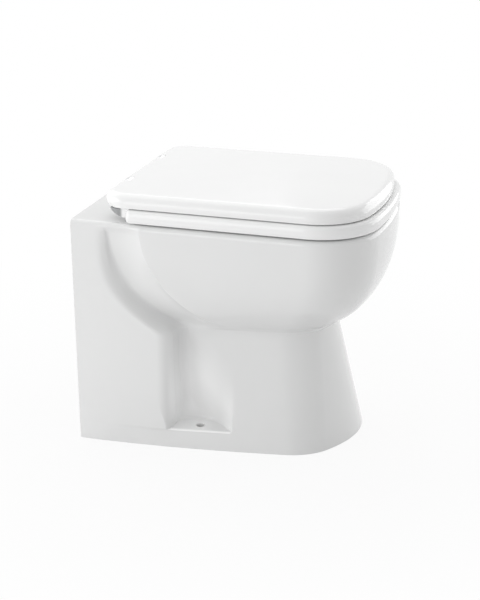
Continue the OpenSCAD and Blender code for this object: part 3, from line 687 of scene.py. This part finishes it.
# What runs past the wall line or below the floor line is cut off by two blocks.
behind_wall = block((-300, 0, -20), (300, 60, 480))
under_floor = block((-300, -600, -20), (300, 100, 0))
pan_changes = [
    ("DIFFERENCE", room_round_bowl),
    ("UNION", rod(sump_r + trap_wall, (0, -sump_y, sump_z), (0, -sump_y, bowl_foot_z - 2))),
    ("UNION", ball(sump_r + trap_wall, (0, -sump_y, sump_z))),
    ("UNION", trap_tube(trap_r + trap_wall, outlet_gap + 4)),
    ("UNION", rod(outlet_r, (0, -outlet_start, outlet_z), (0, -outlet_gap, outlet_z), sides=96)),
    ("UNION", rod(inlet_r + inlet_wall, (0, -outlet_start - 8, inlet_z), (0, -outlet_gap, inlet_z),
                  sides=96)),
    ("UNION", rod(jet_r + jet_wall, (0, -bowl_rear - 18, inlet_z), (0, -outlet_start, inlet_z))),
    ("DIFFERENCE", rod(sump_r, (0, -sump_y, sump_z), (0, -sump_y, sump_z + 110))),
    ("DIFFERENCE", ball(sump_r, (0, -sump_y, sump_z))),
    ("DIFFERENCE", trap_tube(trap_r, -6)),
    ("DIFFERENCE", rod(inlet_r, (0, -outlet_start, inlet_z), (0, 2, inlet_z), sides=96)),
    ("DIFFERENCE", rod(jet_r, (0, -bowl_rear - inlet_end, inlet_z), (0, -inlet_end, inlet_z))),
    ("DIFFERENCE", behind_wall), ("DIFFERENCE", under_floor)]
pan_changes += [("DIFFERENCE", rod(fixing_r, (x, -fixing_y, -1), (x, -fixing_y, shelf_z + 29)))
                for x in (fixing_x, -fixing_x)]
pan_changes += [("DIFFERENCE", rod(deck_hole_r, (x, -stud_y, rim_h - 30), (x, -stud_y, rim_h + 20)))
                for x in (stud_x, -stud_x)]


def rough_skin(height_map, depth):
    """The surface normal over a height map of the given depth in metres."""
    return height_map.add("ShaderNodeBump", {}, {"Height": height_map, "Distance": depth, "Strength": 1.0})


# The glaze: a clear hard coat that waves very slightly and pools a little uneven over the china.
glaze, glaze_shader, glaze_place = new_material("white_glaze")
glaze_tint = two_tone(cloudy(glaze_place, 7), (0.795, 0.798, 0.796), (0.812, 0.815, 0.813))


def between(value, span, below, above):
    """One where the value lies in a span, fading smoothly to nothing over a way below and above it."""
    low, high = span
    risen = value.add("ShaderNodeMapRange", {"interpolation_type": "SMOOTHSTEP"}, {
        "Value": value, "From Min": low - below, "From Max": low})
    past = value.add("ShaderNodeMapRange", {"interpolation_type": "SMOOTHSTEP"}, {
        "Value": value, "From Min": high, "From Max": high + above})
    return risen * (1 - past)


# The glaze is painted whiter in two places: a painted highlight along the shelves' rounded outer edge, and
# painted light low in the scoops over them. The places are in metres.
shelf_ends, shelf_edge = (-0.262, -0.160), (0.0305, 0.0322)
scoop_ends, scoop_foot = (-0.196, -0.166), (0.0326, 0.0900)
apart = glaze_place.add("ShaderNodeSeparateXYZ", {}, {"Vector": glaze_place}).socket.node.outputs
along, height = [Wire(glaze_place.tree, apart[axis]) for axis in "YZ"]
# Painted highlight on the shelf edge and painted light in the scoop, not thicker glaze.
painted_edge_highlight = between(along, shelf_ends, 0.004, 0.004) * between(height, shelf_edge, 0.0008, 0.0008)
painted_scoop_light = between(along, scoop_ends, 0.052, 0.010) * between(height, scoop_foot, 0.0006, 0.1300)
glaze_tint = two_tone(painted_scoop_light, glaze_tint, (0.95, 0.952, 0.95))
glaze_tint = two_tone(painted_edge_highlight, glaze_tint, (0.99, 0.99, 0.985))
feed(glaze_shader, {
    "Base Color": glaze_tint, "Roughness": cloudy(glaze_place, 30, 0.05, 0.075), "IOR": 1.52,
    "Normal": rough_skin(cloudy(glaze_place, 26), 0.00006)})
finished_piece("pan_china", carve(pan_skin(), pan_changes), glaze, "pan", "pan")

# ---------------------------------------------------------------- seat
# The seat is one ring pressed from white urea plastic and polished, heavy and hard like china. A
# tongue behind the ring carries two ears, whose pins turn in the hinge posts.

seat_gap = 2.6
seat_z = rim_h + seat_gap
seat_t = 22.3
seat_top_z = seat_z + seat_t
seat_overhang = 0.9
seat_half_w = rim_half_w + seat_overhang
seat_front = pan_depth + seat_overhang
seat_rear = 97
seat_rear_r = 10
axis_y = 66
lid_gap = 1.2
lid_z = seat_top_z + lid_gap
lid_t = 22.5
barrel_r = 13.4
axis_z = lid_z + lid_t - barrel_r
post_x = stud_x
post_half = 10
turn_gap = 0.5
pin_gap = 0.05
ear_out = post_x - post_half - turn_gap
ear_len, ear_r = 45, 9.2
ear_in = ear_out - ear_len
damper_r, damper_len = 6.4, 38
bush_r, bush_len = 6, 24
bore_end = 0.5
seat_bumpers = [(-157, -385), (157, -385), (-157, -165), (157, -165)]
socket_r, socket_deep = 4.05, 4.1
opening_in = 20
opening_w = bowl_half_w - opening_in
opening_rear, opening_front = bowl_rear + opening_in, bowl_front - opening_in
opening_mid = (opening_rear + opening_front) / 2
tongue_half, tongue_corner_r, tongue_corner_y = 163, 30, 84
notch_front, notch_rear = 88.5, 28.5


def slab_outline(w, rear, front, rear_r, corner_r, front_r, inset):
    """Outline of the seat or the lid, with rounded rear corners and a bowed front, moved in by inset."""
    w, front, rear = w - inset, front - inset, rear + inset
    # The radii of the rear corners, of the front corners and of the bowed front.
    q, k, g = max(rear_r - inset, 1), corner_r - inset, front_r - inset
    dy = math.sqrt((g - k) ** 2 - (w - k) ** 2)
    corner_y, angle = front - g + dy, math.atan2(w - k, dy)
    half = [((w - q) * t, -rear) for t in steps(0, 1, 12)]
    half += [(w - q + q * math.sin(t), -(rear + q - q * math.cos(t)))
             for t in steps(0, math.pi / 2, 16)[1:]]
    half += [(w, -y) for y in steps(rear + q, corner_y, 26)[1:]]
    half += [(w - k + k * math.cos(t), -(corner_y + k * math.sin(t)))
             for t in steps(0, math.pi / 2 - angle, 30)[1:]]
    half += [(g * math.sin(t), -(front - g + g * math.cos(t))) for t in steps(angle, 0, 24)[1:]]
    return half + [(-x, y) for x, y in half[-2:0:-1]]


def seat_outline(inset):
    return slab_outline(seat_half_w, seat_rear, seat_front, seat_rear_r, rim_corner_r, rim_front_r, inset)


def seat_ring():
    """The ring, from a profile of its outside and one of its inside drawn for a thickness of 21 mm."""
    drawn_t = 21
    outside = curve_through([(9, 0), (3.5, 0.8), (1, 3.4), (0, 8),
                             (0.3, 14), (1.6, 18), (4, 20.2), (8, 21)], 5)
    inside = curve_through([(0, 19.2), (-5, 12), (-6, 6), (-2, 0.6)], 5)
    rings = []
    for inset, height in outside:
        z = seat_z + max(height, 0) * seat_t / drawn_t
        rings.append([(x, y, z) for x, y in seat_outline(max(inset, 0))])
    bearings = [math.atan2(x, -y - opening_mid) for x, y in seat_outline(0)]
    for out, height in inside:
        w, length = opening_w + out, (opening_front - opening_rear) / 2 + out
        z = seat_z + height * seat_t / drawn_t
        rings.append([(w * math.sin(b), -(opening_mid + length * math.cos(b)), z) for b in bearings])
    return loft(rings, ring_closed=True)


def tongue():
    """The bar behind the ring, kept inside a plan with rounded rear corners."""
    bar = x_bar(-tongue_half, tongue_half, [
        (-150, seat_z + 0.4), (-seat_rear, seat_z + 0.4), (-seat_rear + 5, seat_z + 4.2),
        (-84, seat_z + 4.2), (-65, axis_z - 19.6), (-61, axis_z - 16.5), (-62.5, axis_z - 14.9),
        (-79.5, axis_z - 14.6), (-100, seat_top_z - 0.2), (-150, seat_top_z - 0.2)])
    r, corner_x = tongue_corner_r, tongue_half - tongue_corner_r
    corner = [(corner_x + r * math.cos(t), -tongue_corner_y + r * math.sin(t))
              for t in steps(0, math.pi / 2, 12)]
    right = [(tongue_half, -160)] + corner + [(corner_x, -40)]
    plan = right + [(-x, y) for x, y in reversed(right)]
    keep = loft([[(x, y, z) for x, y in plan] for z in (seat_z - 5, seat_z + 55)])
    return carve(bar, [("INTERSECT", keep)])


def on_axis(x0, x1, radius):
    """A round bar on the hinge axis between two places across the width."""
    return rod(radius, (x0, -axis_y, axis_z), (x1, -axis_y, axis_z))


def bumper_socket(x, y, z):
    """The hole, seen from below at height z, that a bumper's plug sits in."""
    return rod(socket_r, (x, y, z - 1), (x, y, z + socket_deep), sides=32)


seat_changes = [("UNION", tongue())]
for side in (-1, 1):
    low, high = sorted((side * ear_in, side * ear_out))
    seat_changes += [
        ("UNION", on_axis(low, high, ear_r)),
        ("UNION", x_bar(low, high, [
            (-90, seat_z + 10), (-72, axis_z - 16.5), (-64, axis_z - 9), (-66, axis_z),
            (-71.5, axis_z + 7.3), (-90, seat_top_z - 1)]))]
room = post_half + turn_gap
for side in (-1, 1):
    seat_changes.append(("DIFFERENCE", block((side * post_x - room, -notch_front, seat_z - 5),
                                             (side * post_x + room, -notch_rear, seat_z + 65))))
seat_changes += [
    ("DIFFERENCE", on_axis(-ear_out - 1, -ear_out + bush_len + bore_end, bush_r + pin_gap)),
    ("DIFFERENCE", on_axis(ear_out - damper_len - bore_end, ear_out + 1, damper_r + pin_gap))]
seat_changes += [("DIFFERENCE", bumper_socket(x, y, seat_z)) for x, y in seat_bumpers]

# Polished white plastic, with grey painted shade round each rear corner of the tongue and under each rear
# corner of the lid's barrel, where they lie in the shade under the lid, and a rougher surface there. The
# places are in metres.
tongue_back, tongue_up, tongue_corner = (-0.0815, -0.0400), (0.4030, 0.4180), (0.1250, 0.2000)
barrel_back, barrel_up, barrel_corner = (-0.0640, -0.0400), (0.4186, 0.4262), (0.0885, 0.2000)
hard = 0.0006
polish, polish_shader, polish_place = new_material("polished_white_plastic")
parts = polish_place.add("ShaderNodeSeparateXYZ", {}, {"Vector": polish_place}).socket.node.outputs
across, back, up = [Wire(polish_place.tree, parts[axis]) for axis in "XYZ"]
outward = abs(across)
on_tongue = between(back, tongue_back, 0.0060, hard) * between(up, tongue_up, hard, hard)
on_barrel = between(back, barrel_back, hard, hard) * between(up, barrel_up, hard, hard)
# Painted shade: grey on the tongue's and the barrel's rear corners under the lid.
painted_shade_corners = (on_tongue * between(outward, tongue_corner, hard, hard)
         + on_barrel * between(outward, barrel_corner, hard, hard))
white_tint = two_tone(cloudy(polish_place, 9), (0.895, 0.897, 0.896), (0.91, 0.912, 0.91))
painted_shade_grey = two_tone(cloudy(polish_place, 200), (0.30, 0.305, 0.31), (0.36, 0.365, 0.37))
feed(polish_shader, {
    "Base Color": two_tone(painted_shade_corners, white_tint, painted_shade_grey),
    "Roughness": cloudy(polish_place, 40, 0.09, 0.125) + painted_shade_corners * 0.2, "IOR": 1.5,
    "Normal": rough_skin(cloudy(polish_place, 90), 0.00001)})
finished_piece("seat_ring", carve(seat_ring(), seat_changes), polish, "seat", "seat")

# ---------------------------------------------------------------- lid
# The lid is a shallow plastic shell pressed like the seat. Its edge turns down over the seat, and
# its rear edge is a barrel round the hinge axis with two notches for the posts.

lid_in, lid_front_in = 6.2, 10.2
lid_w = seat_half_w - lid_in
lid_front = seat_front - lid_front_in
lid_rear = 52.6
lid_rear_r, lid_corner_r, lid_front_r = 40, 91, 533
lid_edge_r, lid_foot_r = 15, 2.3
barrel_keep, barrel_fade = 12, 30
lid_recess = 14
recess_in, recess_rear, recess_rear_r = 14, 128, 30
lid_bumpers = [(-148, -400), (148, -400)]


def lid_outline(inset):
    return slab_outline(lid_w, lid_rear, lid_front, lid_rear_r, lid_corner_r, lid_front_r, inset)


def barrel_share(y):
    """One along the hinge barrel, fading to nothing along the sides."""
    return 1 - smooth((-y - lid_rear - barrel_keep) / barrel_fade)


def blended(side_edge, rear_edge):
    """A ring that has one inset and height along the sides and another along the hinge barrel."""
    side, rear = lid_outline(side_edge[0]), lid_outline(rear_edge[0])
    ring = []
    for p, q, whole in zip(side, rear, lid_outline(0)):
        s = barrel_share(whole[1])
        ring.append((mix(p[0], q[0], s), mix(p[1], q[1], s), lid_z + mix(side_edge[1], rear_edge[1], s)))
    return ring


def recess_ring(inset, height):
    plan = slab_outline(lid_w - recess_in, recess_rear, lid_front - recess_in, recess_rear_r,
                        lid_corner_r - recess_in, lid_front_r - recess_in, inset)
    return [(x, y, lid_z + height) for x, y in plan]


def lid_skin():
    """The shell from the middle of its recess, down round its edge or the barrel, to its top."""
    middle = axis_z - lid_z
    barrel_foot = 6
    sides = [(lid_foot_r * (1 - math.sin(a)), lid_foot_r * (1 - math.cos(a)))
             for a in steps(0, math.pi / 2, 6)]
    sides += [(0, mix(lid_foot_r, lid_t - lid_edge_r, t)) for t in (0.35, 0.7)]
    sides += [(lid_edge_r * (1 - math.cos(a)), lid_t - lid_edge_r * (1 - math.sin(a)))
              for a in steps(0, math.pi / 2, 20)]
    turns = steps(-math.pi / 2, math.pi / 2, len(sides) - 1)
    rears = [(barrel_r * (1 - math.cos(a)), middle + barrel_r * math.sin(a)) for a in turns]
    rings = [recess_ring(inset, lid_recess - down)
             for inset, down in ((8, 0), (5, 0.5), (2.5, 1.7), (0.8, 4), (0, 6))]
    rings += [recess_ring(-2, 0), blended((8, 0), (30, 0)), blended((6, 0), (barrel_r + 11.2, 0))]
    rings.append(blended((4, 0), (barrel_r + barrel_foot,
                                  middle - math.sqrt(barrel_r ** 2 - barrel_foot ** 2))))
    rings += [blended(s, r) for s, r in zip(sides, rears)]
    for inset in (4, 12):
        rings.append(blended((lid_edge_r + inset, lid_t), (barrel_r + inset, middle + barrel_r)))
    return loft(rings)


lid_changes = []
for side in (-1, 1):
    low, high = side * post_x - room, side * post_x + room
    pocket_low, pocket_high = sorted((side * (ear_in - turn_gap), side * (ear_out + turn_gap + 0.1)))
    lid_changes += [
        ("DIFFERENCE", on_axis(low, high, barrel_r + turn_gap)),
        ("DIFFERENCE", block((low, -72, axis_z - 30), (high, -12, axis_z + 30))),
        ("DIFFERENCE", x_bar(low, high, [(-88, axis_z - 30), (-88, lid_z + 0.6), (-78, lid_z + 0.6),
                                         (-66, axis_z), (-36, axis_z - 30)])),
        ("DIFFERENCE", on_axis(pocket_low, pocket_high, ear_r + turn_gap)),
        ("DIFFERENCE", x_bar(pocket_low, pocket_high, [
            (-106, axis_z - 38), (-106, lid_z - 0.6), (-91, lid_z + 0.4), (-72, axis_z + 8),
            (-66, axis_z + 4), (-59, axis_z + 6.7), (-48.5, axis_z - 2.5), (-26, axis_z - 30)]))]
barrel_in = post_x + post_half
lid_changes += [
    ("DIFFERENCE", on_axis(-barrel_in - turn_gap - damper_len - bore_end, -barrel_in, damper_r + pin_gap)),
    ("DIFFERENCE", on_axis(barrel_in, barrel_in + turn_gap + bush_len + bore_end, bush_r + pin_gap))]
lid_changes += [("DIFFERENCE", bumper_socket(x, y, lid_z + lid_recess)) for x, y in lid_bumpers]
finished_piece("lid_shell", carve(lid_skin(), lid_changes), polish, "lid", "lid")

# ---------------------------------------------------------------- hinge posts
# Each post is a zinc die casting with a polished chrome plate: a square foot on the deck, a neck and a
# round knuckle that fills the notch in the lid's barrel.

gasket_t, foot_t = 1.2, 3.2
foot_low = rim_h + gasket_t
foot_high = foot_low + foot_t
foot_half, foot_front_y, foot_rear_y = 21, axis_y + 27, axis_y - 7
foot_corner, knuckle_edge = 5, 0.6
neck_front_y, neck_rear_y = axis_y + 18, axis_y + 2
pin_r, stud_r, press_gap = 4, 4, 0.02


def post_body(side):
    """A foot, a neck and a knuckle, with a bore for the pin and one for the stud."""
    x = side * post_x
    foot = block((x - foot_half, -foot_front_y, foot_low), (x + foot_half, -foot_rear_y, foot_high))
    upright = [e for e in foot.edges if abs(e.verts[0].co.z - e.verts[1].co.z) > MM]
    bmesh.ops.bevel(foot, geom=upright, offset=foot_corner * MM, segments=6, affect="EDGES",
                    profile=0.5, material=-1)
    neck = block((x - post_half, -neck_front_y, foot_low + 0.5),
                 (x + post_half, -neck_rear_y, axis_z - 9.5))
    knuckle = on_axis(x - post_half, x + post_half, barrel_r)
    round_edges = [e for e in knuckle.edges if len(e.link_faces) == 2 and e.calc_face_angle() > 1]
    bmesh.ops.bevel(knuckle, geom=round_edges, offset=knuckle_edge * MM, segments=3, affect="EDGES",
                    profile=0.5, material=-1)
    return carve(foot, [
        ("UNION", neck), ("UNION", knuckle),
        ("DIFFERENCE", on_axis(x - post_half - 1, x + post_half + 1, pin_r + press_gap)),
        ("DIFFERENCE", rod(stud_r + press_gap, (x, -stud_y, rim_h), (x, -stud_y, rim_h + 12)))])


chrome, chrome_shader, chrome_place = new_material("chrome_plate")
feed(chrome_shader, {
    "Base Color": two_tone(cloudy(chrome_place, 120), (0.74, 0.75, 0.76), (0.80, 0.80, 0.81)),
    "Metallic": 1.0, "Roughness": cloudy(chrome_place, 300, 0.1, 0.2),
    "Normal": rough_skin(cloudy(chrome_place, 500), 0.00001)})
for name, side in (("left", -1), ("right", 1)):
    finished_piece("post_" + name, post_body(side), chrome, "pan", "hinge_post_" + name)

# ---------------------------------------------------------------- hinge pins
# The pins are drawn steel rod, cut to length and nickel plated, pressed into the posts. The drawing
# leaves fine rings round them.


def dressed(names, finish):
    """Gives CAD nodes that keep their own shape a finish."""
    for name in names:
        nodes[name].data.materials.clear()
        nodes[name].data.materials.append(finish)


nickel, nickel_shader, nickel_place = new_material("nickel_plated_rod")
drawn = nickel_place.add("ShaderNodeTexWave", {"bands_direction": "X"},
                         {"Vector": nickel_place, "Scale": 400.0, "Distortion": 2.0, "Detail": 2.0}, 1)
feed(nickel_shader, {
    "Base Color": two_tone(drawn, (0.66, 0.65, 0.62), (0.72, 0.71, 0.68)), "Metallic": 1.0,
    "Roughness": cloudy(nickel_place, 250, 0.18, 0.3), "Normal": rough_skin(drawn, 0.000008)})
dressed(["hinge_pin_left", "hinge_pin_right"], nickel)

# ---------------------------------------------------------------- studs and washers under the deck
# Steel studs and pressed washers with a bright zinc plate, which mottles into dull and shiny grains.
# The studs carry a rolled metric thread.

zinc, zinc_shader, zinc_place = new_material("zinc_plated_steel")
spangle = zinc_place.add("ShaderNodeTexVoronoi", {}, {"Vector": zinc_place, "Scale": 900.0})
feed(zinc_shader, {
    "Base Color": two_tone(spangle, (0.52, 0.54, 0.56), (0.66, 0.67, 0.68)), "Metallic": 1.0,
    "Roughness": cloudy(zinc_place, 600, 0.28, 0.45), "Normal": rough_skin(spangle, 0.00001)})
dressed(["fixing_washer_left", "fixing_washer_right"], zinc)

threaded, threaded_shader, threaded_place = new_material("zinc_plated_thread")
thread = threaded_place.add("ShaderNodeTexWave", {"bands_direction": "Z", "wave_profile": "TRI"},
                            {"Vector": threaded_place, "Scale": 251.0}, 1)
# The thread's grooves are painted darker and its crests lighter, along with its bump: painted shade and
# painted light.
feed(threaded_shader, {
    "Base Color": two_tone(thread, (0.42, 0.43, 0.44), (0.66, 0.67, 0.68)), "Metallic": 1.0,
    "Roughness": cloudy(threaded_place, 600, 0.3, 0.45), "Normal": rough_skin(thread, 0.0005)})
dressed(["fixing_stud_left", "fixing_stud_right"], threaded)

# ---------------------------------------------------------------- base gaskets and deck bushes
# Pads and sleeves of moulded black rubber that keep metal off the glaze and centre the studs. The
# skin is matt, with a fine grain from the mould.

rubber, rubber_shader, rubber_place = new_material("black_rubber")
feed(rubber_shader, {
    "Base Color": two_tone(cloudy(rubber_place, 400), (0.022, 0.022, 0.022), (0.04, 0.04, 0.039)),
    "Roughness": cloudy(rubber_place, 500, 0.7, 0.9), "Specular IOR Level": 0.3,
    "Normal": rough_skin(cloudy(rubber_place, 2500), 0.00006)})
dressed(["base_gasket_left", "base_gasket_right", "deck_bush_left", "deck_bush_right"], rubber)

# ---------------------------------------------------------------- wing nuts
# Moulded white nylon nuts, turned by hand from under the deck. Nylon is slightly yellow and satin,
# and its wings are a little polished by fingers.

nylon, nylon_shader, nylon_place = new_material("white_nylon")
feed(nylon_shader, {
    "Base Color": two_tone(cloudy(nylon_place, 150), (0.76, 0.75, 0.70), (0.82, 0.81, 0.77)),
    "Roughness": cloudy(nylon_place, 220, 0.38, 0.55),
    "Normal": rough_skin(cloudy(nylon_place, 1800), 0.00004)})
dressed(["wing_nut_left", "wing_nut_right"], nylon)

# ---------------------------------------------------------------- dampers
# Each damper is a glass-filled nylon barrel with a vane of smooth acetal inside, and damping grease
# between the two. One sits in the lid's barrel, the other in an ear of the seat.

housing, housing_shader, housing_place = new_material("grey_glass_filled_nylon")
fibres = housing_place.add("ShaderNodeTexNoise", {},
                           {"Vector": housing_place, "Scale": 1500.0, "Detail": 4.0})
feed(housing_shader, {
    "Base Color": two_tone(fibres, (0.07, 0.072, 0.075), (0.11, 0.112, 0.115)),
    "Roughness": cloudy(housing_place, 400, 0.45, 0.62), "Normal": rough_skin(fibres, 0.00008)})
dressed(["lid_damper_housing", "seat_damper_housing"], housing)

acetal, acetal_shader, acetal_place = new_material("natural_acetal")
feed(acetal_shader, {
    "Base Color": two_tone(cloudy(acetal_place, 200), (0.78, 0.77, 0.73), (0.83, 0.82, 0.79)),
    "Roughness": cloudy(acetal_place, 500, 0.25, 0.38),
    "Normal": rough_skin(cloudy(acetal_place, 1200), 0.00002)})
dressed(["lid_damper_vane", "seat_damper_vane"], acetal)

# ---------------------------------------------------------------- plain bushes
# At the ends without a damper a turned acetal bush carries the pin. The tool leaves fine rings along
# its length.

turned, turned_shader, turned_place = new_material("turned_acetal")
tool_marks = turned_place.add("ShaderNodeTexWave", {"bands_direction": "X"},
                              {"Vector": turned_place, "Scale": 500.0, "Distortion": 0.6}, 1)
feed(turned_shader, {
    "Base Color": two_tone(tool_marks, (0.80, 0.79, 0.76), (0.84, 0.83, 0.81)),
    "Roughness": cloudy(turned_place, 300, 0.3, 0.42), "Normal": rough_skin(tool_marks, 0.00002)})
dressed(["seat_bush", "lid_bush"], turned)

# ---------------------------------------------------------------- bumpers
# Soft pads of translucent white rubber, moulded with a plug that presses into a socket in the seat or
# the lid. They pick up dust, so their skin is dull.

pads, pads_shader, pads_place = new_material("soft_white_rubber")
feed(pads_shader, {
    "Base Color": two_tone(cloudy(pads_place, 300), (0.66, 0.66, 0.64), (0.74, 0.74, 0.72)),
    "Roughness": cloudy(pads_place, 400, 0.55, 0.75),
    "Normal": rough_skin(cloudy(pads_place, 2000), 0.00005)})
dressed([name for name in nodes if "bumper" in name], pads)
